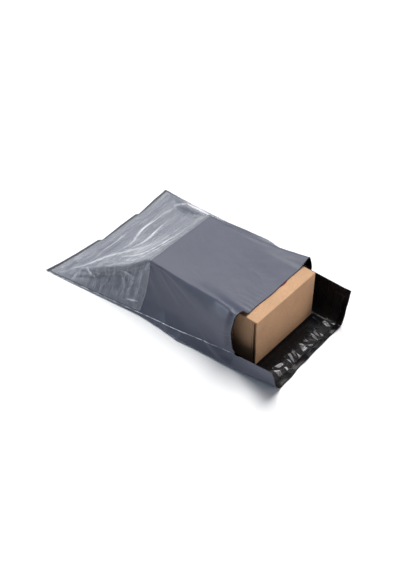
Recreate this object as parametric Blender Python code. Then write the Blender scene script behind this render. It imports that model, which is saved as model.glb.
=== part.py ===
"""Courier mailing bag, 240 mm wide and 316 mm deep with a 62 mm lip, lying open round a carton.

Metres, +Z up. The origin is the middle of the bag's footprint on the surface it lies on.
+Y runs to the closed end, -Y to the lip, and X runs across the mouth. The bag is one web of
film: a front panel on top, a back panel underneath, and the lip that the back panel leaves
beyond the mouth. The loft below follows the panels' mid-surfaces along named rails.
"""

import bmesh
import bpy
import numpy as np

MM = 0.001

# The bag, flat: 240 wide, 316 deep, 62 of lip. Lying open it covers 240 x 375.
HALF_LENGTH = 187.5
MOUTH_Y = -120.0
WELD_BAND = 7.0
FILM = 0.4
FILM_GAP = 0.1
CLEARANCE = 0.35

# The carton that rests on the back panel. Its front flap stands before the ends of the side walls:
# each ply slot is its distance behind the front face and its width, cut into both sides.
CARTON_SIZE = (119.0, 176.0, 73.5)
CARTON_CENTRE = (-13.5, -52.0)
CARTON_BEVEL = 0.8
PLY_SLOTS = ((1.7, 3.4), (6.6, 0.6))
PLY_SLOT_DEPTH = 9.0
LID_THICKNESS = 1.8

# The clear pocket over the rear half of the front panel, and the closure band across the lip's
# inside. Their depths are sections of the loft too, so they follow the film with an even gap.
POCKET_FILM = 0.3
LINER_SECTIONS_Y = (-160.5, -163.5, -170.5, -177.5, -180.5)
ADHESIVE_SECTIONS_Y = LINER_SECTIONS_Y[1:-1]
BAND_FILM = 0.3

# Depths at which the loft has a section. The mouth and both ends are among them.
POCKET_SECTIONS_Y = (178.5, 165.0, 138.0, 110.0, 84.0, 60.0, 45.0, 38.0, 30.0)
SECTIONS_Y = (187.5, 180.5, *POCKET_SECTIONS_Y, 10.0, -15.0, -40.0, -72.0, -92.0, -108.0,
              MOUTH_Y, -142.0, *LINER_SECTIONS_Y, -187.5)

# The carton draws the middle of the closed end in: (x, how far), fading to nothing at BOW_ROOT_Y.
END_BOW = ((-120, 0), (-97, 4), (-70, 7), (-25, 11), (10, 11.5), (50, 10.5), (85, 8.5), (114, 5.5),
           (120, 4.5))
BOW_ROOT_Y = 110.0

# Each rail lists (y, x, z): a line along the bag that every section passes, from closed end to lip.
SEAM_LEFT = [(187.5, -120.0, 0.45), (110, -111.5, 1.4), (38, -104, 4.5), (-40, -100, 11),
             (-120, -89, 20.5), (-187.5, -104.5, 48)]
ROOT_LEFT = [(187.5, -118.0, 0.45), (110, -109.5, 1.4), (38, -102, 4.5), (-40, -98, 11),
             (-120, -87, 20.5), (-187.5, -103.7, 46)]
ROOT_RIGHT = [(187.5, 118.0, 0.45), (110, 98, 21), (38, 78, 43), (-40, 80, 49),
              (-120, 66, 51.5), (-187.5, 65.8, 50.8)]
SEAM_RIGHT = [(187.5, 120.0, 0.45), (110, 100, 21), (38, 80, 43), (-40, 82, 49),
              (-120, 68, 51.5), (-187.5, 66.5, 53)]

FRONT_RAILS = [
    [(187.5, -111, 0.7), (165, -109.7, 2), (110, -106.5, 13),
     (38, -97, 27), (-40, -95, 30), (-120, -92, 43)],
    [(187.5, -103, 0.7), (165, -102.4, 3), (110, -101, 26), (38, -84, 55), (-40, -84, 56), (-120, -95, 66)],
    [(187.5, -95, 0.7), (165, -95.6, 4), (110, -97, 36),
     (38, -76, 75), (-40, -76, 75), (-80, -77, 76.5), (-120, -90, 86)],
    [(187.5, -85, 0.7), (165, -86.7, 4.5), (110, -91, 38),
     (38, -70, 76), (-40, -70, 76), (-80, -71, 77.5), (-120, -79, 86)],
    [(187.5, -73, 0.7), (165, -74.5, 4.5), (110, -78, 38.5), (38, -59, 75.3), (-120, -67, 75.6)],
    [(187.5, 0, 0.7), (165, -1.4, 4.5), (110, -5, 38.5), (38, -13, 75.3), (-120, -14, 75.6)],
    [(187.5, 73, 0.7), (165, 71.3, 4.5), (110, 67, 38.5), (38, 32, 75.3), (-120, 39, 75.6)],
    [(187.5, 92, 0.7), (165, 89.7, 4.5), (110, 84, 37.5),
     (38, 48.5, 76), (-40, 49, 76), (-80, 51, 78), (-120, 59, 83)],
    [(187.5, 107, 0.7), (165, 102.7, 4), (110, 92, 29), (38, 65, 60), (-40, 68, 62), (-120, 66, 66)],
]
BACK_RAILS = [
    [(187.5, -113, 0.2), (110, -109, 0.3), (38, -103.5, 1.8), (-40, -103.5, 6.5), (-120, -91.5, 11),
     (-187.5, -97.4, 25)],
    [(187.5, -109, 0.2), (110, -106, 0.2), (38, -101, 0.4), (-40, -107, 2), (-120, -98, 4),
     (-187.5, -93, 12)],
    [(187.5, -98, 0.2), (110, -98, 0.2), (38, -95, 0.2), (-40, -101, 0.2), (-120, -94, 0.2),
     (-187.5, -84, 0.2)],
    [(187.5, -55, 0.2), (-187.5, -55, 0.2)],
    [(187.5, -5, 0.2), (-187.5, -5, 0.2)],
    [(187.5, 40, 0.2), (110, 36, 0.2), (-120, 26, 0.2), (-187.5, 28, 0.2)],
    [(187.5, 87, 0.2), (110, 75, 0.2), (38, 67, 0.2), (-40, 65, 0.2), (-120, 51, 0.2), (-187.5, 54, 0.2)],
    [(187.5, 102, 0.2), (110, 95, 5), (38, 84, 12), (-40, 85, 14), (-120, 61, 8), (-187.5, 58.5, 18)],
    [(187.5, 112, 0.2), (110, 101, 13), (38, 87, 29), (-40, 89, 33), (-120, 65, 33), (-187.5, 61.5, 38)],
]
CORNER_CUTS = (0.9, 4, 4, 2.5, 2.5, 6, 6, 6, 3, 5, 0.9)


def clear_scene():
    for item in list(bpy.data.objects):
        bpy.data.objects.remove(item, do_unlink=True)


def material(name, colour, roughness, metallic=0.0, alpha=1.0):
    made = bpy.data.materials.new(name)
    made.use_nodes = True
    shader = made.node_tree.nodes["Principled BSDF"]
    shader.inputs["Base Color"].default_value = (*colour, 1.0)
    shader.inputs["Roughness"].default_value = roughness
    shader.inputs["Metallic"].default_value = metallic
    shader.inputs["Alpha"].default_value = alpha
    return made


def rail_point(rail, y):
    """The (x, z) of a rail at depth y."""
    stops = np.array(sorted(rail))
    return np.array([np.interp(y, stops[:, 0], stops[:, 1]), np.interp(y, stops[:, 0], stops[:, 2])])


def rounded(points):
    """A section's outline: each inner corner becomes a three-point curve."""
    outline = [points[0]]
    for before, corner, after, cut in zip(points, points[1:], points[2:], CORNER_CUTS):
        to_before = before - corner
        to_after = after - corner
        start = corner + to_before * min(cut / np.linalg.norm(to_before), 0.45)
        end = corner + to_after * min(cut / np.linalg.norm(to_after), 0.45)
        outline += [start, (start + 2 * corner + end) / 4, end]
    outline.append(points[-1])
    return np.array(outline)


def panel_outline(rails, y, side):
    """A panel's mid-line at depth y, left seam to right seam; side is 1 for front and -1 for back."""
    lift = np.array([0.0, side * (FILM + FILM_GAP) / 2])
    ends = [rail_point(SEAM_LEFT, y) + lift, rail_point(ROOT_LEFT, y) + lift]
    ends_right = [rail_point(ROOT_RIGHT, y) + lift, rail_point(SEAM_RIGHT, y) + lift]
    outline = rounded(ends + [rail_point(rail, y) for rail in rails] + ends_right)
    if y == HALF_LENGTH:
        outline[:, 1] = SEAM_LEFT[0][2] + lift[1]
    return outline


def offset(outline, distance):
    """The outline moved sideways, to its left as it runs, which is up where it runs along +X."""
    run = np.gradient(outline, axis=0)
    run /= np.linalg.norm(run, axis=1)[:, None]
    return outline + distance * np.column_stack([-run[:, 1], run[:, 0]])


def at_depth(outline, y):
    """The outline's points in metres, each drawn in by the end's bow."""
    places, draws = zip(*END_BOW)
    fade = max(0.0, (y - BOW_ROOT_Y) / (HALF_LENGTH - BOW_ROOT_Y))
    return [(x * MM, (y - fade * np.interp(x, places, draws)) * MM, z * MM) for x, z in outline]


def cell_solid(name, grid, filled, look):
    """One closed body from a grid of points [depth][layer][across] and the cells of it that are solid."""
    padded = np.pad(filled, 1)
    body = bmesh.new()
    corners = {}

    def corner(place):
        if place not in corners:
            depth, layer, step = place
            corners[place] = body.verts.new(grid[depth][layer][step])
        return corners[place]

    for cell in np.argwhere(filled):
        for axis in range(3):
            for side in (0, 1):
                beyond = cell.copy()
                beyond[axis] += 2 * side - 1
                if padded[tuple(beyond + 1)]:
                    continue
                first, second = [other for other in range(3) if other != axis]
                ring = []
                for step_first, step_second in ((0, 0), (1, 0), (1, 1), (0, 1)):
                    place = cell.copy()
                    place[axis] += side
                    place[first] += step_first
                    place[second] += step_second
                    ring.append(corner(tuple(int(value) for value in place)))
                body.faces.new(ring)
    bmesh.ops.recalc_face_normals(body, faces=body.faces[:])
    bmesh.ops.triangulate(body, faces=body.faces[:])
    return finish(name, body, look)


def finish(name, body, look, sharp_angle=0.6):
    mesh = bpy.data.meshes.new(name)
    body.to_mesh(mesh)
    body.free()
    mesh.shade_smooth()
    mesh.set_sharp_from_angle(angle=sharp_angle)
    mesh.materials.append(look)
    made = bpy.data.objects.new(name, mesh)
    bpy.context.collection.objects.link(made)
    return made


def mailer_film():
    """Front ply, gap and back ply as three layers of cells, joined by the welds."""
    grid = []
    for y in SECTIONS_Y:
        front = panel_outline(FRONT_RAILS, y, 1)
        back = panel_outline(BACK_RAILS, y, -1)
        layers = (offset(front, FILM / 2), offset(front, -FILM / 2), offset(back, FILM / 2),
                  offset(back, -FILM / 2))
        grid.append([at_depth(layer, y) for layer in layers])
    filled = np.zeros((len(SECTIONS_Y) - 1, 3, len(grid[0][0]) - 1), dtype=bool)
    mouth = SECTIONS_Y.index(MOUTH_Y)
    filled[:mouth, 0, :] = True
    filled[:, 2, :] = True
    filled[:mouth, 1, (0, -1)] = True
    weld_sections = SECTIONS_Y.index(HALF_LENGTH - WELD_BAND)
    filled[:weld_sections, 1, :] = True
    return cell_solid("mailer_film", grid, filled, material("grey_film", (0.21, 0.22, 0.28), 0.42))


def ply(name, rails, side, depths, spans, inner, thickness, look):
    """A strip of film that lies over a panel: inner is its distance from the panel's mid-surface."""
    grid = []
    for y in depths:
        outline = panel_outline(rails, y, side)
        layers = (offset(outline, inner), offset(outline, inner + thickness))
        grid.append([at_depth(layer, y)[spans:-spans] for layer in layers])
    filled = np.ones((len(depths) - 1, 1, len(grid[0][0]) - 1), dtype=bool)
    return cell_solid(name, grid, filled, look)


def document_pocket():
    clear = material("clear_film", (0.62, 0.64, 0.68), 0.2, alpha=0.4)
    return ply("document_pocket", FRONT_RAILS, 1, POCKET_SECTIONS_Y, 3, FILM / 2 + CLEARANCE,
               POCKET_FILM, clear)


def closure_band():
    """Adhesive on the lip's inner face, and the release liner over it."""
    adhesive_height = FILM / 2 + CLEARANCE
    ply("adhesive_strip", BACK_RAILS, -1, ADHESIVE_SECTIONS_Y, 4, adhesive_height, BAND_FILM,
        material("hot_melt", (0.5, 0.47, 0.4), 0.3))
    ply("release_liner", BACK_RAILS, -1, LINER_SECTIONS_Y, 4, adhesive_height + BAND_FILM + CLEARANCE,
        BAND_FILM, material("liner_film", (0.75, 0.76, 0.78), 0.15, alpha=0.5))


def carton_slot(x_side, y, width, height):
    """A narrow cutter that opens the gap between two plies at the end of a side wall."""
    bpy.ops.mesh.primitive_cube_add(size=MM, location=(x_side * MM, y * MM, height / 2 * MM))
    cutter = bpy.context.active_object
    cutter.name = "slot_cutter"
    cutter.scale = (2 * PLY_SLOT_DEPTH, width, height)
    bpy.ops.object.transform_apply(location=False, rotation=False, scale=True)
    cutter.hide_render = True
    cutter.display_type = "WIRE"
    return cutter


def carton():
    """Closed corrugated carton: the side walls end in plies behind the front flap."""
    width, depth, height = CARTON_SIZE
    base_z = FILM + CLEARANCE
    centre_x, centre_y = CARTON_CENTRE
    bpy.ops.mesh.primitive_cube_add(
        size=MM, location=(centre_x * MM, centre_y * MM, (base_z + height / 2) * MM))
    box = bpy.context.active_object
    box.name = "carton"
    box.scale = CARTON_SIZE
    bpy.ops.object.transform_apply(location=False, rotation=False, scale=True)
    bevel = box.modifiers.new("fold_radius", "BEVEL")
    bevel.width = CARTON_BEVEL * MM
    bevel.segments = 2
    y_front = centre_y - depth / 2
    for inset, slot_width in PLY_SLOTS:
        for side in (-1, 1):
            x_side = centre_x + side * width / 2
            y = y_front + inset + slot_width / 2
            cutter = carton_slot(x_side, y, slot_width, base_z + height - LID_THICKNESS)
            cut = box.modifiers.new("ply_slot", "BOOLEAN")
            cut.operation = "DIFFERENCE"
            cut.solver = "EXACT"
            cut.object = cutter
    box.data.materials.append(material("kraft_board", (0.55, 0.36, 0.21), 0.85))
    return box


clear_scene()
mailer_film()
document_pocket()
closure_band()
carton()
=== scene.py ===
import math

import bmesh
import bpy
import numpy as np
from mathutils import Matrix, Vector, noise


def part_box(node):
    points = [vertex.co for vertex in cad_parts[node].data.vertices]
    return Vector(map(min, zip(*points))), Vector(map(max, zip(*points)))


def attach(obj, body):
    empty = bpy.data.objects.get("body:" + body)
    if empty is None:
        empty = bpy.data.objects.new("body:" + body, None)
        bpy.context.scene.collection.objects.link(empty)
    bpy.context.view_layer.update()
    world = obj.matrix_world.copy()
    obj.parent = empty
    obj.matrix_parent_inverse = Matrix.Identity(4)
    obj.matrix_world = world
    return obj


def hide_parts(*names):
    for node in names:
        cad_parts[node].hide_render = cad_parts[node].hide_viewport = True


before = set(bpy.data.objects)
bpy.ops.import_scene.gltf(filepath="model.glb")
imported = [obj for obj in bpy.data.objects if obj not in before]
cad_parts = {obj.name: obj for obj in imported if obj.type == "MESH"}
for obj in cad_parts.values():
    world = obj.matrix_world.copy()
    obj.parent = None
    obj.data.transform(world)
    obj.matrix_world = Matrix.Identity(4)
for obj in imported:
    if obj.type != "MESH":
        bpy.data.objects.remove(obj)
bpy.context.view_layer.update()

mm = 0.001


# camera

view = {"azimuth": -49.5, "elevation": 43.2, "distance": 1.3455, "target": (-0.0099, 0.0036, 0.0),
        "lens": 63.16, "shiftY": 0.0053}


def addCamera():
    azimuth = math.radians(view["azimuth"])
    elevation = math.radians(view["elevation"])
    back = Vector((math.sin(azimuth) * math.cos(elevation), -math.cos(azimuth) * math.cos(elevation),
                   math.sin(elevation)))
    bpy.ops.object.camera_add(location=Vector(view["target"]) + back * view["distance"],
                              rotation=back.to_track_quat("Z", "Y").to_euler())
    camera = bpy.context.active_object
    camera.data.lens = view["lens"]
    camera.data.shift_y = view["shiftY"]
    camera.data.clip_start = 0.05
    bpy.context.scene.camera = camera


addCamera()
print("camera set")


# small helpers

def deselectAll():
    for item in bpy.context.selected_objects:
        item.select_set(False)


def makeActive(piece):
    deselectAll()
    piece.select_set(True)
    bpy.context.view_layer.objects.active = piece


def applyAll(piece):
    makeActive(piece)
    for modifier in list(piece.modifiers):
        bpy.ops.object.modifier_apply(modifier=modifier.name)


def meshPoints(mesh):
    flat = np.empty(len(mesh.vertices) * 3)
    mesh.vertices.foreach_get("co", flat)
    return flat.reshape(-1, 3)


def setPoints(mesh, points):
    mesh.vertices.foreach_set("co", np.asarray(points, dtype=float).ravel())
    mesh.update()


def ease(value, low, high):
    t = np.clip((value - low) / (high - low), 0, 1)
    return t * t * (3 - 2 * t)


def flatNoise(flat, scaleAcross, scaleAlong, seed):
    points = np.column_stack([flat[:, 0] / scaleAcross, flat[:, 1] / scaleAlong, np.full(len(flat), seed)])
    return np.array([noise.noise(Vector(point)) for point in points])


def ridges(value, sharpness):
    return (1 - np.abs(value)).clip(0, 1) ** sharpness


def liftAlongNormals(piece, heights):
    points = meshPoints(piece.data)
    normals = np.empty(len(piece.data.vertices) * 3)
    piece.data.vertices.foreach_get("normal", normals)
    setPoints(piece.data, points + normals.reshape(-1, 3) * heights[:, None] * mm)


creaseLook = {"wander": 3, "wanderNoise": (38, 38, 3.1), "rounding": 3, "sharpness": 1.6, "shineWidth": 0.55,
              "shineSharpness": 1.3, "endBand": (6, 14), "frontBand": (156, 163), "leftBand": (2, 10),
              "rightBand": (232, 238.5)}

# the tail's long creases: height, width, the painted highlight they lay on the clear pocket, and the places
# they run through, each across the bag and from the closed end
creases = [
    (1.6, 9, 0.6, ((8, 17), (27, 42), (53, 51), (75, 61), (99, 76), (127, 104))),
    (2.0, 6, 0.75, ((222, 50), (205, 48), (161, 47), (133, 54), (107, 65), (75, 56))),
    (1.2, 4, 0.5, ((208, 38), (170, 42), (131, 54), (100, 57))),
    (1.5, 5, 0.8, ((199, 69), (161, 71), (127, 80), (95, 70))),
    (1.6, 6, 0.8, ((195, 134), (165, 145), (117, 130), (93, 103), (80, 75))),
    (1.2, 5, 0.7, ((189, 154), (147, 156), (113, 139), (84, 122), (76, 95))),
    (1.2, 5, 0.6, ((210, 110), (160, 118), (120, 108), (95, 90))),
    (2.2, 9, 1.4, ((221, 46), (228, 88), (227, 125), (222, 162))),
    (0.9, 4, 0.45, ((150, 28), (110, 35), (70, 36), (45, 42))),
    (0.8, 3, 0.35, ((190, 20), (140, 24), (100, 28))),
    (2.0, 5, 0.9, ((30, 58), (25, 66), (21, 76))),
    (2.0, 4, 0.3, ((38, 118), (28, 128), (8, 131))),
    (1.6, 3, 0.8, ((8, 138), (13, 155))),
    (1.4, 4, 0.4, ((46, 110), (40, 142))),
]


def cornersCut(path):
    # the path made smooth, by cutting its corners off a few times
    stops = np.array(path, dtype=float)
    for turn in range(creaseLook["rounding"]):
        nearStart = stops[:-1] * 0.75 + stops[1:] * 0.25
        nearEnd = stops[:-1] * 0.25 + stops[1:] * 0.75
        middle = np.column_stack([nearStart, nearEnd]).reshape(-1, 2)
        stops = np.vstack([stops[:1], middle[1:-1], stops[-1:]])
    return stops


def distanceToPath(flat, path):
    # the shortest distance to the path, and how far along it the nearest place is, 0 to 1
    stops = cornersCut(path)
    nearest = np.full(len(flat), 1e6)
    along = np.zeros(len(flat))
    for index, (start, end) in enumerate(zip(stops, stops[1:])):
        run = end - start
        part = (((flat[:, :2] - start) @ run) / (run @ run)).clip(0, 1)
        away = np.linalg.norm(flat[:, :2] - start - part[:, None] * run, axis=1)
        closer = away < nearest
        nearest[closer] = away[closer]
        along[closer] = (index + part[closer]) / (len(stops) - 1)
    return nearest, along


def creaseField(flat):
    # how high the creases stand at each flat place, and how strong a painted highlight they lay on the clear
    # film there
    heights = np.zeros(len(flat))
    paintedShine = np.zeros(len(flat))
    wander = flatNoise(flat, *creaseLook["wanderNoise"]) * creaseLook["wander"]
    moved = flat + np.column_stack([wander, -wander, np.zeros(len(flat))])
    for height, width, paintedHighlight, path in creases:
        away, along = distanceToPath(moved, path)
        fade = np.sin(np.pi * (0.08 + 0.84 * along))
        heights += height * ridges(away / width, creaseLook["sharpness"]) * fade
        # each crease also lays a painted highlight along itself on the clear pocket
        paintedShine += paintedHighlight * ridges(away / width / creaseLook["shineWidth"], creaseLook["shineSharpness"]) * fade
    inside = ease(flat[:, 1], *creaseLook["endBand"]) * (1 - ease(flat[:, 1], *creaseLook["frontBand"]))
    inside = inside * ease(flat[:, 0], *creaseLook["leftBand"])
    inside = inside * (1 - ease(flat[:, 0], *creaseLook["rightBand"]))
    return heights * inside, paintedShine * inside


# the film's web: where its flat sheet lies round the carton

web = {"width": 240, "bagDepth": 316, "lip": 62, "step": 2.0, "closedY": 187.5, "mouthY": -120.0,
       "lipY": -187.5, "thickness": 0.00014, "bowRootY": 110.0, "edgeCuts": ((94, 4.2), (170, 3.4)),
       "cutStep": 1, "cutLength": 40, "cutFade": 12}

# how far the carton draws the closed end in, each as (x, distance)
endBow = ((-120, 0), (-97, 4), (-70, 7), (-25, 10), (10, 11.5), (50, 10.5), (85, 8.5), (114, 5.5),
          (120, 4.5))

# rails along the bag, each a list of (y, x, z) in millimetres, from the closed end to the lip
seamLeft = [(187.5, -120, 0.5), (110, -111.5, 1.6), (38, -104, 4.5), (-40, -100, 11), (-120, -89, 20.5),
            (-187.5, -104.5, 48)]
seamRight = [(187.5, 120, 0.5), (110, 100, 21), (38, 80, 43), (-40, 82, 49), (-120, 68, 51.5),
             (-187.5, 66.5, 53)]
frontRails = [
    [(187.5, -109, 0.7), (165, -108, 2), (110, -105.5, 13), (38, -96, 27), (-40, -95, 30), (-120, -92, 43)],
    [(187.5, -100, 0.7), (165, -100, 3), (110, -100, 26), (38, -84, 55), (-40, -84, 56), (-120, -95, 66)],
    [(187.5, -95, 0.7), (165, -95.3, 4), (110, -96, 36),
     (38, -75, 74.4), (-40, -75.5, 74.6), (-80, -76, 76), (-120, -90, 86)],
    [(187.5, -85, 0.7), (165, -86.5, 4.5), (110, -90, 38),
     (38, -71, 75.2), (-40, -71, 75.4), (-80, -71, 77), (-120, -79, 86)],
    [(187.5, -73, 0.7), (165, -74.5, 4.5), (110, -78, 38.5), (38, -59, 75.1), (-120, -67, 75.4)],
    [(187.5, 0, 0.7), (165, -1.4, 4.5), (110, -5, 38.5), (38, -13, 75.1), (-120, -14, 75.4)],
    [(187.5, 73, 0.7), (165, 71.3, 4.5), (110, 67, 38.5), (38, 32, 75.1), (-120, 39, 75.4)],
    [(187.5, 92, 0.7), (165, 89.7, 4.5), (110, 84, 37.5),
     (38, 48.5, 75.5), (-40, 49, 75.8), (-80, 51, 77.5), (-120, 59, 83)],
    [(187.5, 107, 0.7), (165, 102.7, 4), (110, 92, 29),
     (38, 65, 60), (-40, 68, 62), (-85, 73, 66), (-120, 66, 66)],
]
backRails = [
    [(187.5, -113, 0.2), (110, -109, 0.4), (38, -103.5, 1.8), (-40, -103.5, 6.5), (-120, -91.5, 11),
     (-187.5, -97.4, 25)],
    [(187.5, -109, 0.2), (110, -106, 0.2), (38, -101, 0.4), (-40, -107, 2), (-120, -98, 4),
     (-187.5, -93, 12)],
    [(187.5, -98, 0.2), (110, -98, 0.2), (38, -95, 0.2), (-40, -101, 0.2), (-120, -94, 0.2),
     (-187.5, -84, 0.2)],
    [(187.5, 87, 0.2), (110, 75, 0.2), (38, 67, 0.2), (-40, 65, 0.2), (-120, 51, 0.2), (-187.5, 54, 0.2)],
    [(187.5, 102, 0.2), (110, 95, 5), (38, 84, 12), (-40, 85, 14), (-120, 61, 8), (-187.5, 58.5, 18)],
    [(187.5, 112, 0.2), (110, 101, 13), (38, 87, 29), (-40, 89, 33), (-120, 65, 33), (-187.5, 61.5, 38)],
]


def railPoint(rail, y):
    stops = np.array(sorted(rail), dtype=float)
    return np.array([np.interp(y, stops[:, 0], stops[:, 1]), np.interp(y, stops[:, 0], stops[:, 2])])


def roundedOutline(points, cut=5.0, steps=4):
    outline = [points[0]]
    for before, corner, after in zip(points, points[1:], points[2:]):
        toBefore, toAfter = before - corner, after - corner
        start = corner + toBefore * min(cut / np.linalg.norm(toBefore), 0.45)
        end = corner + toAfter * min(cut / np.linalg.norm(toAfter), 0.45)
        for t in np.linspace(0, 1, steps + 1):
            outline.append((1 - t) ** 2 * start + 2 * t * (1 - t) * corner + t * t * end)
    outline.append(points[-1])
    return np.array(outline)


def section(rails, y, across):
    # points of one panel at depth y, spaced evenly along its outline as the flat film is
    points = [railPoint(rail, y) for rail in [seamLeft, *rails, seamRight]]
    outline = roundedOutline(points)
    run = np.concatenate([[0], np.cumsum(np.linalg.norm(np.diff(outline, axis=0), axis=1))])
    places = np.asarray(across) / web["width"] * run[-1]
    return np.column_stack([np.interp(places, run, outline[:, 0]), np.interp(places, run, outline[:, 1])])


def depthToY(depth):
    bag, lip = web["bagDepth"], web["lip"]
    return np.interp(depth, [0, bag, bag + lip], [web["closedY"], web["mouthY"], web["lipY"]])


def panelSheet(name, length):
    # one panel as it is cut: a flat grid, x across and y the distance from the closed end
    columns = int(web["width"] / web["step"])
    rows = int(length / web["step"])
    bpy.ops.mesh.primitive_grid_add(x_subdivisions=columns, y_subdivisions=rows, size=1)
    panel = bpy.context.active_object
    panel.name = name
    points = meshPoints(panel.data)
    points[:, 0] = (points[:, 0] + 0.5) * web["width"]
    points[:, 1] = (points[:, 1] + 0.5) * length
    setPoints(panel.data, points)
    return panel


def drape(panel, rails):
    flat = meshPoints(panel.data)
    placed = np.empty_like(flat)
    for depth in np.unique(np.round(flat[:, 1], 3)):
        row = np.abs(flat[:, 1] - depth) < 0.01
        y = float(depthToY(depth))
        placed[row, 0::2] = section(rails, y, flat[row, 0])
        placed[row, 1] = y
    return placed


def storeFlat(panel, side):
    # flat place on the film: x across, y from the closed end; and which panel each face is, 1 for the front
    flat = meshPoints(panel.data)
    layer = panel.data.attributes.new("flatPlace", "FLOAT_VECTOR", "POINT")
    layer.data.foreach_set("vector", flat.ravel())
    sides = panel.data.attributes.new("panel", "INT", "FACE")
    sides.data.foreach_set("value", [side] * len(panel.data.polygons))


def endPull(placed, flat):
    # the end is bowed in, and its edge was cut in three strokes, so it steps in at two notches
    places, draws = zip(*endBow)
    root = web["bowRootY"]
    fade = ((placed[:, 1] - root) / (web["closedY"] - root)).clip(0, 1)
    pull = fade * np.interp(placed[:, 0], places, draws)
    for start, depth in web["edgeCuts"]:
        stops = [start - web["cutStep"], start + web["cutStep"], start + web["cutLength"]]
        stroke = np.interp(flat[:, 0], stops, [0, 1, 0])
        pull += depth * stroke * (1 - ease(flat[:, 1], 0, web["cutFade"]))
    return pull


def buildFilm():
    front = panelSheet("front", web["bagDepth"])
    back = panelSheet("back", web["bagDepth"] + web["lip"])
    for panel, rails, side in ((front, frontRails, 1), (back, backRails, 0)):
        storeFlat(panel, side)
        placed = drape(panel, rails)
        placed[:, 1] -= endPull(placed, meshPoints(panel.data))
        setPoints(panel.data, placed * mm)
    front.data.flip_normals()
    makeActive(back)
    front.select_set(True)
    bpy.ops.object.join()
    back.name = "mailerFilm"
    weldSeams(back)
    return back


def flatPlaces(mesh):
    values = np.empty(len(mesh.vertices) * 3)
    mesh.attributes["flatPlace"].data.foreach_get("vector", values)
    return values.reshape(-1, 3)


def weldSeams(film):
    flat = flatPlaces(film.data)
    onSeam = (flat[:, 0] < 0.1) | (flat[:, 0] > web["width"] - 0.1) | (flat[:, 1] < 0.1)
    body = bmesh.new()
    body.from_mesh(film.data)
    body.verts.ensure_lookup_table()
    rim = [body.verts[int(index)] for index in np.flatnonzero(onSeam)]
    bmesh.ops.remove_doubles(body, verts=rim, dist=0.00005)
    body.to_mesh(film.data)
    body.free()


# the cloth is solved larger than life, and its bands are distances in millimetres on the flat sheet
settle = {"scale": 10, "frames": 24, "quality": 6, "mass": 0.08, "tension": 40, "shear": 20, "bending": 0.4,
          "damping": 6, "airDamping": 1, "gap": 0.0045, "friction": 2, "gravity": 0.4,
          "holdAll": 0.04, "holdLip": 0.3, "holdMouth": 0.35, "holdRight": 0.4,
          "underTail": (25, 205, 150), "lipBand": (5, 30), "mouthBand": (-40, -4), "rightBand": (-14, -2),
          "endBand": (14, 44)}


def collider(name, low, high):
    size = Vector(high) - Vector(low)
    centre = (Vector(high) + Vector(low)) / 2
    bpy.ops.mesh.primitive_cube_add(size=1, location=centre * settle["scale"], scale=size * settle["scale"])
    block = bpy.context.active_object
    block.name = name
    bpy.ops.object.transform_apply(location=True, rotation=False, scale=True)
    block.modifiers.new("collision", "COLLISION")
    block.collision.thickness_outer = settle["gap"]
    block.collision.cloth_friction = settle["friction"]
    return block


def backPoints(film):
    # marks the points that belong to the back panel alone
    mesh = film.data
    sides = np.array([item.value for item in mesh.attributes["panel"].data])
    corners = np.empty(len(mesh.loops), dtype=int)
    mesh.loops.foreach_get("vertex_index", corners)
    onFront = np.zeros(len(mesh.vertices), dtype=bool)
    onFront[corners[np.repeat(sides == 1, 4)]] = True
    return ~onFront


def holdWeights(film, flat):
    # how firmly each point keeps its laid place: the closed end and the hidden panel under the tail are
    # fixed, the lip, the mouth and the right side are held, and the rest is nearly free
    across, depth = flat[:, 0], flat[:, 1]
    left, right, deep = settle["underTail"]
    underTail = (depth < deep) & (across > left) & (across < right) & backPoints(film)
    pastMouth = depth - web["bagDepth"]
    onLip = ease(pastMouth, *settle["lipBand"])
    atMouth = ease(pastMouth, *settle["mouthBand"]) * (pastMouth <= 1)
    nearRight = ease(across - web["width"], *settle["rightBand"])
    nearEnd = 1 - ease(depth, *settle["endBand"])
    weights = np.where(underTail, 1, settle["holdAll"])
    for band, hold in ((onLip, "holdLip"), (atMouth, "holdMouth"), (nearRight, "holdRight")):
        weights = np.maximum(weights, band * settle[hold])
    return np.maximum(weights, nearEnd)


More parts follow.
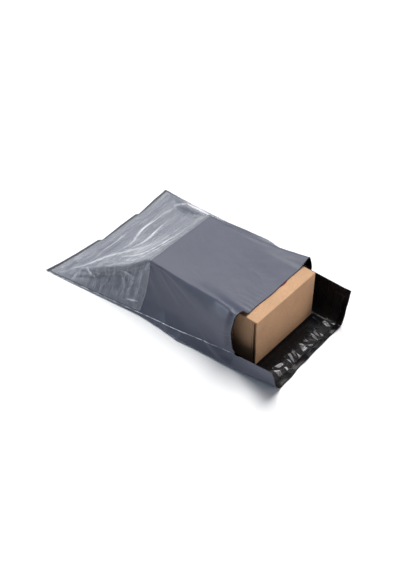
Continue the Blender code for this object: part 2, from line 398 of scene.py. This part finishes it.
def settleFilm(film):
    # the cut sheet is the rest shape, so film that has room to spare buckles into its own creases
    scale = settle["scale"]
    flat = flatPlaces(film.data)
    laid = meshPoints(film.data) * scale
    setPoints(film.data, laid)
    film.shape_key_add(name="Basis")
    rest = film.shape_key_add(name="flat")
    restPoints = np.column_stack([flat[:, 0], flat[:, 1], np.zeros(len(flat))]) * mm * scale
    rest.data.foreach_set("co", restPoints.ravel())
    hold = film.vertex_groups.new(name="hold")
    for index, weight in enumerate(holdWeights(film, flat)):
        hold.add([index], float(weight), "REPLACE")
    cartonLow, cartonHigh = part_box("carton")
    blocks = [collider("cartonBlock", cartonLow, cartonHigh),
              collider("floorBlock", (-0.4, -0.4, -0.05), (0.4, 0.4, -0.0004))]
    cloth = film.modifiers.new("cloth", "CLOTH")
    rules = cloth.settings
    rules.quality = settle["quality"]
    rules.mass = settle["mass"]
    rules.air_damping = settle["airDamping"]
    rules.tension_stiffness = settle["tension"]
    rules.compression_stiffness = settle["tension"]
    rules.shear_stiffness = settle["shear"]
    rules.bending_stiffness = settle["bending"]
    rules.tension_damping = rules.compression_damping = rules.shear_damping = settle["damping"]
    rules.rest_shape_key = rest
    rules.vertex_group_mass = "hold"
    rules.pin_stiffness = 1
    rules.effector_weights.gravity = settle["gravity"]
    cloth.collision_settings.distance_min = settle["gap"]
    cloth.collision_settings.collision_quality = 2
    cloth.point_cache.frame_end = settle["frames"]
    scene = bpy.context.scene
    for number in range(1, settle["frames"] + 1):
        scene.frame_set(number)
    settled = film.evaluated_get(bpy.context.evaluated_depsgraph_get())
    points = meshPoints(settled.data) / scale
    film.modifiers.clear()
    film.shape_key_clear()
    film.vertex_groups.clear()
    setPoints(film.data, points)
    for block in blocks:
        bpy.data.objects.remove(block, do_unlink=True)
    scene.frame_set(1)
    moved = np.linalg.norm(points - laid / scale, axis=1)
    print("film settled: points moved", round(float(moved.mean()) * 1000, 2), "mm on average")


# each noise is its size across, its size along and its seed, and the trim's two places are x in metres
ripples = {"edgeBand": 16, "lift": 1.8, "liftNoise": (17, 60, 4.4),
           "shift": 1.8, "shiftNoise": (22, 200, 7.7), "trim": 4.5, "trimFrom": -0.085, "trimTo": -0.015,
           "mouthBand": 24, "mouthPush": 4.0, "mouthNoise": (30, 300, 2.4), "mouthWander": 0.3,
           "topBand": (60, 18, 12), "dent": 0.3, "dentNoise": (16, 20, 9.1), "dentShare": 1.8}
curl = {"band": 14, "from": 0.6, "tuck": 2.4, "out": 2.4, "forward": 0.8, "leftBand": (3, 12),
        "rightBand": (70, 88)}


def curlMouth(film):
    # the mouth's edge tucks in and then rolls outwards on the left, which shows the black side of the film
    flat = flatPlaces(film.data)
    toEdge = ((flat[:, 1] - web["bagDepth"]) / curl["band"] + 1).clip(0, 1)
    onLeft = ease(flat[:, 0], *curl["leftBand"]) * (1 - ease(flat[:, 0], *curl["rightBand"]))
    onLeft = onLeft * ~backPoints(film)
    rolled = ((toEdge - curl["from"]) / (1 - curl["from"])).clip(0, 1) ** 2
    liftAlongNormals(film, onLeft * (rolled * curl["out"] - np.sin(np.pi * toEdge) * curl["tuck"]))
    points = meshPoints(film.data)
    points[:, 1] += onLeft * rolled * curl["out"] * curl["forward"] * mm
    setPoints(film.data, points)


def rippleEdges(film):
    # the lip's free edge wanders, the mouth's edge bellies forwards, and soft dents lie behind it
    flat = flatPlaces(film.data)
    points = meshPoints(film.data)
    bag, length = web["bagDepth"], web["bagDepth"] + web["lip"]
    nearEdge = ease(flat[:, 1], length - ripples["edgeBand"], length)
    lifted = (0.35 + flatNoise(flat, *ripples["liftNoise"])).clip(0, 1)
    points[:, 2] += nearEdge * ripples["lift"] * mm * lifted
    trim = np.interp(points[:, 0], [ripples["trimFrom"], ripples["trimTo"]], [0, ripples["trim"]])
    shift = ripples["shift"] * flatNoise(flat, *ripples["shiftNoise"])
    points[:, 1] += nearEdge * mm * (trim + shift)
    onFront = ~backPoints(film)
    belly = np.sin(np.pi * flat[:, 0] / web["width"]) ** 0.5
    forward = ease(flat[:, 1], bag - ripples["mouthBand"], bag) * belly
    forward = forward * (1 + ripples["mouthWander"] * flatNoise(flat, *ripples["mouthNoise"]))
    points[:, 1] -= onFront * forward * ripples["mouthPush"] * mm
    start, full, end = ripples["topBand"]
    nearMouth = ease(flat[:, 1], bag - start, bag - full) * (1 - ease(flat[:, 1], bag - end, bag))
    dents = (flatNoise(flat, *ripples["dentNoise"]) * ripples["dentShare"]).clip(0, 1)
    onTop = onFront & (points[:, 2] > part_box("carton")[1][2])
    points[:, 2] += onTop * nearMouth * dents * ripples["dent"] * mm
    setPoints(film.data, points)


film = buildFilm()
print("film laid out:", len(film.data.vertices), "points")
settleFilm(film)
rippleEdges(film)
curlMouth(film)
liftAlongNormals(film, creaseField(flatPlaces(film.data))[0] * ~backPoints(film))


# materials

def newMaterial(name, colour, roughness=0.5, specular=0.5):
    material = bpy.data.materials.new(name)
    material.use_nodes = True
    nodes = material.node_tree.nodes
    shader = nodes["Principled BSDF"]
    shader.inputs["Base Color"].default_value = (*colour, 1)
    shader.inputs["Roughness"].default_value = roughness
    shader.inputs["Specular IOR Level"].default_value = specular
    return material, nodes, material.node_tree.links, shader


def placeSocket(nodes, links, source, scale):
    # the film's own flat place in millimetres, or the object's place in metres, scaled for a texture
    if source == "Object":
        start = nodes.new("ShaderNodeTexCoord").outputs["Object"]
    else:
        attribute = nodes.new("ShaderNodeAttribute")
        attribute.attribute_name = source
        start = attribute.outputs["Vector"]
    mapping = nodes.new("ShaderNodeMapping")
    mapping.inputs["Scale"].default_value = scale
    links.new(start, mapping.inputs["Vector"])
    return mapping.outputs["Vector"]


def noiseSocket(nodes, links, place, scale, detail=3.0, distortion=0.0):
    texture = nodes.new("ShaderNodeTexNoise")
    texture.inputs["Scale"].default_value = scale
    texture.inputs["Detail"].default_value = detail
    texture.inputs["Distortion"].default_value = distortion
    links.new(place, texture.inputs["Vector"])
    return texture.outputs["Fac"]


def rampSocket(nodes, links, source, stops):
    ramp = nodes.new("ShaderNodeValToRGB")
    elements = ramp.color_ramp.elements
    while len(elements) < len(stops):
        elements.new(0.5)
    for element, (position, colour) in zip(elements, stops):
        element.position = position
        element.color = (*colour, 1)
    links.new(source, ramp.inputs["Fac"])
    return ramp.outputs["Color"]


def rangeSocket(nodes, links, source, low, high, start=0.0, end=1.0):
    mapRange = nodes.new("ShaderNodeMapRange")
    mapRange.inputs["From Min"].default_value = start
    mapRange.inputs["From Max"].default_value = end
    mapRange.inputs["To Min"].default_value = low
    mapRange.inputs["To Max"].default_value = high
    links.new(source, mapRange.inputs["Value"])
    return mapRange.outputs["Result"]


def mixSocket(nodes, links, factor, first, second, blend="MIX"):
    # factor, first and second are each a socket or a fixed value
    mix = nodes.new("ShaderNodeMix")
    mix.data_type = "RGBA"
    mix.blend_type = blend
    for name, value in (("Factor", factor), ("A", first), ("B", second)):
        if isinstance(value, bpy.types.NodeSocket):
            links.new(value, mix.inputs[name])
        else:
            mix.inputs[name].default_value = value
    return mix.outputs["Result"]


def bumpInto(nodes, links, shader, heights):
    # heights is a list of (socket, depth in metres), laid over each other
    previous = None
    for socket, depth in heights:
        bump = nodes.new("ShaderNodeBump")
        bump.inputs["Distance"].default_value = depth
        links.new(socket, bump.inputs["Height"])
        if previous:
            links.new(previous, bump.inputs["Normal"])
        previous = bump.outputs["Normal"]
    links.new(previous, shader.inputs["Normal"])


# the films' textures are laid on the flat sheet in millimetres, the board's on the object in metres
greyLook = {"colour": (0.072, 0.079, 0.112), "pale": (0.081, 0.088, 0.123), "weld": (0.024, 0.027, 0.037, 1),
            "weldBand": (5.5, 7.5), "roughness": (0.34, 0.47), "specular": 0.35, "clouds": 0.02,
            "streaks": (1.2, 0.02, 1), "streakDepth": 0.00005, "dimples": 0.06, "dimpleDepth": 0.00045}


def greyFilm():
    # soft grey with faint clouds and drawing streaks, and darker along the weld at the closed end
    material, nodes, links, shader = newMaterial("greyFilm", greyLook["colour"],
                                                 specular=greyLook["specular"])
    flat = placeSocket(nodes, links, "flatPlace", (1, 1, 1))
    cloudy = noiseSocket(nodes, links, flat, greyLook["clouds"], 4)
    streaky = noiseSocket(nodes, links, placeSocket(nodes, links, "flatPlace", greyLook["streaks"]), 1.0, 2)
    colour = rampSocket(nodes, links, cloudy, [(0.3, greyLook["colour"]), (0.7, greyLook["pale"])])
    split = nodes.new("ShaderNodeSeparateXYZ")
    links.new(flat, split.inputs["Vector"])
    pastWeld = rangeSocket(nodes, links, split.outputs["Y"], 0, 1, *greyLook["weldBand"])
    links.new(mixSocket(nodes, links, pastWeld, greyLook["weld"], colour), shader.inputs["Base Color"])
    links.new(rangeSocket(nodes, links, cloudy, *greyLook["roughness"]), shader.inputs["Roughness"])
    dimples = noiseSocket(nodes, links, flat, greyLook["dimples"], 3, 0.6)
    bumpInto(nodes, links, shader, [(streaky, greyLook["streakDepth"]), (dimples, greyLook["dimpleDepth"])])
    return material


blackLook = {"colour": (0.0035, 0.004, 0.0055), "pale": (0.008, 0.008, 0.0095), "roughness": (0.14, 0.24),
             "specular": 0.15, "clouds": 0.03, "dimples": 0.05, "dimpleDepth": 0.0009}


def blackFilm():
    material, nodes, links, shader = newMaterial("blackFilm", blackLook["colour"],
                                                 specular=blackLook["specular"])
    flat = placeSocket(nodes, links, "flatPlace", (1, 1, 1))
    cloudy = noiseSocket(nodes, links, flat, blackLook["clouds"], 3)
    links.new(rampSocket(nodes, links, cloudy, [(0.35, blackLook["colour"]), (0.75, blackLook["pale"])]),
              shader.inputs["Base Color"])
    links.new(rangeSocket(nodes, links, cloudy, *blackLook["roughness"]), shader.inputs["Roughness"])
    dimples = noiseSocket(nodes, links, flat, blackLook["dimples"], 3, 0.8)
    bumpInto(nodes, links, shader, [(dimples, blackLook["dimpleDepth"])])
    return material


# the pocket's white colour paints its highlights and sheen
clearLook = {"colour": (0.36, 0.38, 0.43), "paintedHighlight": (0.72, 0.73, 0.76), "alpha": (0.22, 0.8),
             "roughness": 0.22, "crinkle": 0.09, "crinkleDepth": 0.0006}


def paintedShineSocket(nodes):
    attribute = nodes.new("ShaderNodeAttribute")
    attribute.attribute_name = "paintedShine"
    return attribute.outputs["Fac"]


def clearFilm():
    # milky where it lies flat; whiter and less clear where its painted highlights and painted sheen lie
    material, nodes, links, shader = newMaterial("clearFilm", clearLook["colour"], clearLook["roughness"])
    flat = placeSocket(nodes, links, "flatPlace", (1, 1, 1))
    crinkle = noiseSocket(nodes, links, flat, clearLook["crinkle"], 5, 1.2)
    paintedShine = paintedShineSocket(nodes)
    links.new(rangeSocket(nodes, links, paintedShine, *clearLook["alpha"]), shader.inputs["Alpha"])
    links.new(rampSocket(nodes, links, paintedShine, [(0.1, clearLook["colour"]), (0.8, clearLook["paintedHighlight"])]),
              shader.inputs["Base Color"])
    bumpInto(nodes, links, shader, [(crinkle, clearLook["crinkleDepth"])])
    return material


# the liner's white colour paints reflections on its facets
linerLook = {"colour": (0.012, 0.0125, 0.015), "paintedHighlight": (0.62, 0.63, 0.68), "alpha": (0.08, 0.9),
             "roughness": 0.18, "crinkle": 0.25, "crinkleDepth": 0.0006}


def linerFilm():
    # clear over black, with painted reflections: pale facets and bright lines between its folds
    material, nodes, links, shader = newMaterial("linerFilm", linerLook["colour"], linerLook["roughness"])
    flat = placeSocket(nodes, links, "flatPlace", (1, 1, 1))
    crinkle = noiseSocket(nodes, links, flat, linerLook["crinkle"], 4, 1.0)
    paintedShine = paintedShineSocket(nodes)
    links.new(rangeSocket(nodes, links, paintedShine, *linerLook["alpha"]), shader.inputs["Alpha"])
    links.new(rampSocket(nodes, links, paintedShine, [(0.15, linerLook["colour"]), (0.9, linerLook["paintedHighlight"])]),
              shader.inputs["Base Color"])
    bumpInto(nodes, links, shader, [(crinkle, linerLook["crinkleDepth"])])
    return material


meltLook = {"colour": (0.008, 0.008, 0.009), "roughness": 0.5, "specular": 0.15, "lumps": 0.5,
            "lumpDepth": 0.0004}


def hotMelt():
    material, nodes, links, shader = newMaterial("hotMelt", meltLook["colour"], meltLook["roughness"],
                                                 meltLook["specular"])
    flat = placeSocket(nodes, links, "flatPlace", (1, 1, 1))
    lumps = noiseSocket(nodes, links, flat, meltLook["lumps"], 3)
    bumpInto(nodes, links, shader, [(lumps, meltLook["lumpDepth"])])
    return material


kraftLook = {"dark": (0.50, 0.30, 0.175), "colour": (0.56, 0.345, 0.205), "pale": (0.60, 0.38, 0.23),
             "cloudTones": ((0.90, 0.89, 0.88), (1.05, 1.04, 1.03)), "roughness": 0.82, "specular": 0.25,
             "fibres": (240, 900, 900), "clouds": (28, 28, 28), "specks": (1500, 1500, 1500),
             "fibreDepth": 0.00006, "speckDepth": 0.00005,
             "seal": (0.30, 0.05, 0.045, 1), "sealPlace": (0.003, -0.105), "sealRadius": 0.0185}


def kraftBoard():
    material, nodes, links, shader = newMaterial("kraftBoard", kraftLook["colour"], kraftLook["roughness"],
                                                 kraftLook["specular"])
    fibres = noiseSocket(nodes, links, placeSocket(nodes, links, "Object", kraftLook["fibres"]), 1.0, 6, 0.4)
    clouds = noiseSocket(nodes, links, placeSocket(nodes, links, "Object", kraftLook["clouds"]), 1.0, 3)
    specks = noiseSocket(nodes, links, placeSocket(nodes, links, "Object", kraftLook["specks"]), 1.0, 2)
    base = rampSocket(nodes, links, fibres, [(0.3, kraftLook["dark"]), (0.5, kraftLook["colour"]),
                                             (0.72, kraftLook["pale"])])
    tone = rampSocket(nodes, links, clouds, list(zip((0.3, 0.7), kraftLook["cloudTones"])))
    board = mixSocket(nodes, links, 1, base, tone, "MULTIPLY")
    sealed = mixSocket(nodes, links, sealMask(nodes, links), board, kraftLook["seal"])
    links.new(sealed, shader.inputs["Base Color"])
    bumpInto(nodes, links, shader, [(fibres, kraftLook["fibreDepth"]), (specks, kraftLook["speckDepth"])])
    return material


def sealMask(nodes, links):
    # a plain round sticker on the carton's lid, nearly all of it under the film
    place = nodes.new("ShaderNodeTexCoord").outputs["Object"]
    away = nodes.new("ShaderNodeVectorMath")
    away.operation = "DISTANCE"
    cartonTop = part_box("carton")[1][2]
    away.inputs[1].default_value = (*kraftLook["sealPlace"], cartonTop)
    links.new(place, away.inputs[0])
    inside = nodes.new("ShaderNodeMath")
    inside.operation = "LESS_THAN"
    links.new(away.outputs["Value"], inside.inputs[0])
    inside.inputs[1].default_value = kraftLook["sealRadius"]
    return inside.outputs["Value"]


# pieces cut from the settled film: the pocket, the adhesive and its liner

def cutFrom(film, name, panelSide, depths, across, level):
    # a copy of one stretch of a panel, with finer faces
    piece = film.copy()
    piece.data = film.data.copy()
    piece.name = name
    bpy.context.collection.objects.link(piece)
    body = bmesh.new()
    body.from_mesh(piece.data)
    side = body.faces.layers.int["panel"]
    place = body.verts.layers.float_vector["flatPlace"]
    outside = []
    for face in body.faces:
        centre = sum((vert[place] for vert in face.verts), Vector()) / len(face.verts)
        inDepth = depths[0] < centre.y < depths[1]
        inAcross = across[0] < centre.x < across[1]
        if face[side] != panelSide or not inDepth or not inAcross:
            outside.append(face)
    bmesh.ops.delete(body, geom=outside, context="FACES")
    body.to_mesh(piece.data)
    body.free()
    smooth = piece.modifiers.new("finer", "SUBSURF")
    smooth.levels = smooth.render_levels = level
    applyAll(piece)
    return piece


def thicken(piece, thickness, offset, innerSlot=0, rimSlot=0):
    solidify = piece.modifiers.new("thickness", "SOLIDIFY")
    solidify.thickness = thickness
    solidify.offset = offset
    solidify.material_offset = innerSlot
    solidify.material_offset_rim = rimSlot
    applyAll(piece)
    makeActive(piece)
    bpy.ops.object.shade_smooth()


def dress(piece, *materials):
    piece.data.materials.clear()
    for material in materials:
        piece.data.materials.append(material)


def standFor(piece, node):
    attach(piece, "root")
    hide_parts(node)


# each noise is its size across, its size along and its seed, and then how often its ridges come
# the pocket's whitening below paints a broad sheen in its middle and light on its left side
pocket = {"depths": (5.5, 163), "across": (1, 239), "lift": 0.4, "thickness": 0.00006, "slopeBand": (50, 80),
          "fine": 0.6, "fineNoise": (60, 9, 8.7), "fineShare": 2.6,
          "crumple": 0.8, "crumpleNoise": (22, 11, 5.5), "crumpleShare": 2.4,
          "streaks": 0.22, "streakNoise": (70, 5, 4.2), "streakShare": 2.2,
          "patches": 0.14, "patchNoise": (26, 9, 6.6), "patchShare": 2.4,
          "paintedSheen": 0.3, "paintedSheenCentre": (105, 105), "paintedSheenSize": (45, 38), "paintedSideLight": 0.08, "sideBand": (60, 78),
          "endBand": (6, 14), "frontBand": (156, 161), "leftBand": (2, 10), "rightBand": (230, 238)}


def pocketHeights(flat):
    # the creases already run through the film underneath: the pocket adds its own small crumples
    fine = flatNoise(flat, *pocket["fineNoise"]) * pocket["fineShare"]
    fine = ridges(fine, 4) * pocket["fine"]
    crumple = flatNoise(flat, *pocket["crumpleNoise"]) * pocket["crumpleShare"]
    crumple = ridges(crumple, 4) * pocket["crumple"]
    onSlope = ease(flat[:, 0], *pocket["slopeBand"])
    inside = ease(flat[:, 1], *pocket["endBand"]) * (1 - ease(flat[:, 1], *pocket["frontBand"]))
    inside = inside * ease(flat[:, 0], *pocket["leftBand"]) * (1 - ease(flat[:, 0], *pocket["rightBand"]))
    return pocket["lift"] + (fine * onSlope + crumple * (1 - onSlope)) * inside


def pocketPaintedShine(flat):
    # painted highlights and sheen on the pocket: along its creases, fine streaks and patches, a broad painted
    # sheen in the middle, and painted light on its left side
    streaks = ridges(flatNoise(flat, *pocket["streakNoise"]) * pocket["streakShare"], 3) * pocket["streaks"]
    patches = ridges(flatNoise(flat, *pocket["patchNoise"]) * pocket["patchShare"], 4) * pocket["patches"]
    patches = patches * (1 - ease(flat[:, 0], *pocket["slopeBand"]))
    # a broad painted sheen in the middle, and painted light on the left side
    fromCentre = (flat[:, :2] - pocket["paintedSheenCentre"]) / pocket["paintedSheenSize"]
    paintedSheen = pocket["paintedSheen"] * np.exp(-(fromCentre ** 2).sum(axis=1))
    paintedLightOnSide = pocket["paintedSideLight"] * (1 - ease(flat[:, 0], *pocket["sideBand"]))
    return (creaseField(flat)[1] + streaks + patches + paintedSheen + paintedLightOnSide).clip(0, 1)


def storePaintedShine(piece, values):
    layer = piece.data.attributes.new("paintedShine", "FLOAT", "POINT")
    layer.data.foreach_set("value", values)


def buildPocket(film):
    piece = cutFrom(film, "documentPocket", 1, pocket["depths"], pocket["across"], 1)
    flat = flatPlaces(piece.data)
    liftAlongNormals(piece, pocketHeights(flat))
    storePaintedShine(piece, pocketPaintedShine(flat))
    dress(piece, clearFilm())
    thicken(piece, pocket["thickness"], 1)
    standFor(piece, "document_pocket")


closure = {"linerDepths": (351, 371), "adhesiveDepths": (354, 368), "across": (10, 230), "linerLift": -0.75,
           "adhesiveLift": -0.3, "crinkle": 1.1, "linerThickness": 0.00006, "adhesiveThickness": 0.0002,
           "facet": 9, "slant": (14, 17), "wander": 1.7, "wanderNoise": (28, 22, 2.2),
           "litNoise": (13, 31, 6.3), "lineNoise": (12, 30, 5.5), "lineWidth": 0.09, "lineShine": 0.7,
           "floorFrom": (40, 66), "floorTo": (180, 188), "rearBand": (352, 355), "frontBand": (367, 370)}


def zigzag(value):
    return np.abs(2 * (value - np.floor(value + 0.5)))


def linerFolds(flat):
    # flat facets between sharp folds: how far each place is folded up, and how strongly its facet carries a
    # painted reflection
    facet = closure["facet"]
    wander = flatNoise(flat, *closure["wanderNoise"]) * closure["wander"]
    square = flat[:, 0] / facet + wander
    slanted = flat[:, 0] / closure["slant"][0] - flat[:, 1] / closure["slant"][1] + wander
    onFloor = ease(flat[:, 0], *closure["floorFrom"]) * (1 - ease(flat[:, 0], *closure["floorTo"]))
    folds = (zigzag(square) + 0.8 * zigzag(slanted)) * onFloor
    inFacet = np.floor(flat / facet) * facet + 2
    # the pale facets and fold lines are painted reflections
    lit = (square % 1 < 0.5) * (0.35 + flatNoise(inFacet, *closure["litNoise"])).clip(0, 1)
    foldLines = ridges((slanted % 1 - 0.5) / closure["lineWidth"], 1) * closure["lineShine"]
    foldLines = foldLines * (0.4 + flatNoise(flat, *closure["lineNoise"])).clip(0, 1)
    inBand = ease(flat[:, 1], *closure["rearBand"]) * (1 - ease(flat[:, 1], *closure["frontBand"]))
    pale = lit * (slanted % 1 < 0.6) + foldLines
    return folds, (pale * onFloor * inBand).clip(0, 1)


def buildClosure(film):
    liner = cutFrom(film, "releaseLiner", 0, closure["linerDepths"], closure["across"], 2)
    folds, pale = linerFolds(flatPlaces(liner.data))
    liftAlongNormals(liner, closure["linerLift"] - folds * closure["crinkle"])
    storePaintedShine(liner, pale)
    dress(liner, linerFilm())
    thicken(liner, closure["linerThickness"], 1)
    standFor(liner, "release_liner")
    adhesive = cutFrom(film, "adhesiveStrip", 0, closure["adhesiveDepths"], closure["across"], 1)
    liftAlongNormals(adhesive, np.full(len(adhesive.data.vertices), closure["adhesiveLift"]))
    dress(adhesive, hotMelt())
    thicken(adhesive, closure["adhesiveThickness"], 1)
    standFor(adhesive, "adhesive_strip")


buildPocket(film)
buildClosure(film)
print("pocket and closure cut")


# side welds: a fine bead where the cut sealed the two panels

# the bright colour below paints glints along the weld
bead = {"radius": 0.55, "swell": 0.45, "swellStep": 0.55, "rightSeed": 9.0,
        "colour": (0.12, 0.13, 0.16), "dull": (0.2, 0.21, 0.25), "glint": (0.66, 0.68, 0.72),
        "roughness": 0.22, "glintSpots": (160, 160, 160), "grain": (900, 900, 900), "grainDepth": 0.0003}


def buildWeld(film, name, atLeft):
    flat = flatPlaces(film.data)
    points = meshPoints(film.data)
    onSeam = flat[:, 0] < 0.1 if atLeft else flat[:, 0] > web["width"] - 0.1
    order = np.flatnonzero(onSeam & (flat[:, 1] > 1) & (flat[:, 1] <= web["bagDepth"]))
    order = order[np.argsort(flat[order, 1])]
    path = points[order]
    curve = bpy.data.curves.new(name, "CURVE")
    curve.dimensions = "3D"
    curve.bevel_depth = bead["radius"] * mm
    curve.bevel_resolution = 1
    curve.use_fill_caps = True
    spline = curve.splines.new("POLY")
    spline.points.add(len(path) - 1)
    for index, point in enumerate(path):
        spline.points[index].co = (*point, 1)
        swell = noise.noise(Vector((index * bead["swellStep"], 0.0 if atLeft else bead["rightSeed"], 0.0)))
        spline.points[index].radius = 1 + bead["swell"] * swell
    piece = bpy.data.objects.new(name, curve)
    bpy.context.collection.objects.link(piece)
    makeActive(piece)
    bpy.ops.object.convert(target="MESH")
    piece = bpy.context.active_object
    bpy.ops.object.shade_smooth()
    piece.data.materials.append(weldMaterial())
    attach(piece, "root")


def weldMaterial():
    # melted film, dull, with painted glints in bright spots along it
    material, nodes, links, shader = newMaterial("weldBead", bead["colour"], bead["roughness"])
    glintSpots = noiseSocket(nodes, links, placeSocket(nodes, links, "Object", bead["glintSpots"]), 1.0, 2)
    links.new(rampSocket(nodes, links, glintSpots, [(0.42, bead["dull"]), (0.58, bead["glint"])]),
              shader.inputs["Base Color"])
    grain = noiseSocket(nodes, links, placeSocket(nodes, links, "Object", bead["grain"]), 1.0, 3)
    bumpInto(nodes, links, shader, [(grain, bead["grainDepth"])])
    return material


buildWeld(film, "leftWeld", True)
buildWeld(film, "rightWeld", False)

dress(film, greyFilm(), blackFilm())
thicken(film, web["thickness"], -1, 1, 1)
standFor(film, "mailer_film")

dress(bpy.data.objects["carton"], kraftBoard())
print("film, welds and carton finished")


# floor and light

studio = {"floorSize": 14, "floor": (0.94, 0.94, 0.945), "floorRoughness": 0.9,
          "world": (0.72, 0.86, 1.1), "worldStrength": 0.13}

# each lamp's name, place, size, watts and colour
lamps = (("keyLamp", (0.9, 0.45, 2.8), 2.1, 118, (1, 0.985, 0.96)),
         ("backLamp", (1.0, 1.3, 0.8), 0.7, 6, (1, 1, 1)),
         ("frontLamp", (0.9, -1.9, 0.6), 0.8, 9, (1, 0.84, 0.72)),
         ("leftLamp", (-1.0, 1.7, 0.4), 0.9, 14, (0.8, 0.9, 1.0)))


def addFloor():
    bpy.ops.mesh.primitive_plane_add(size=studio["floorSize"])
    floor = bpy.context.active_object
    floor.name = "floor"
    floor.data.materials.append(newMaterial("paleFloor", studio["floor"], studio["floorRoughness"])[0])


def addLamp(name, place, size, watts, colour):
    # an area lamp that faces the middle of the floor
    turn = Vector(place).to_track_quat("Z", "Y").to_euler()
    bpy.ops.object.light_add(type="AREA", location=place, rotation=turn)
    lamp = bpy.context.active_object
    lamp.name = name
    lamp.data.size = size
    lamp.data.energy = watts
    lamp.data.color = colour


def addWorld():
    world = bpy.data.worlds.new("studio")
    world.use_nodes = True
    background = world.node_tree.nodes["Background"]
    background.inputs["Color"].default_value = (*studio["world"], 1)
    background.inputs["Strength"].default_value = studio["worldStrength"]
    bpy.context.scene.world = world


addFloor()
for lamp in lamps:
    addLamp(*lamp)
addWorld()
bpy.context.scene.view_settings.view_transform = "Standard"
print("floor, lamps and world set")
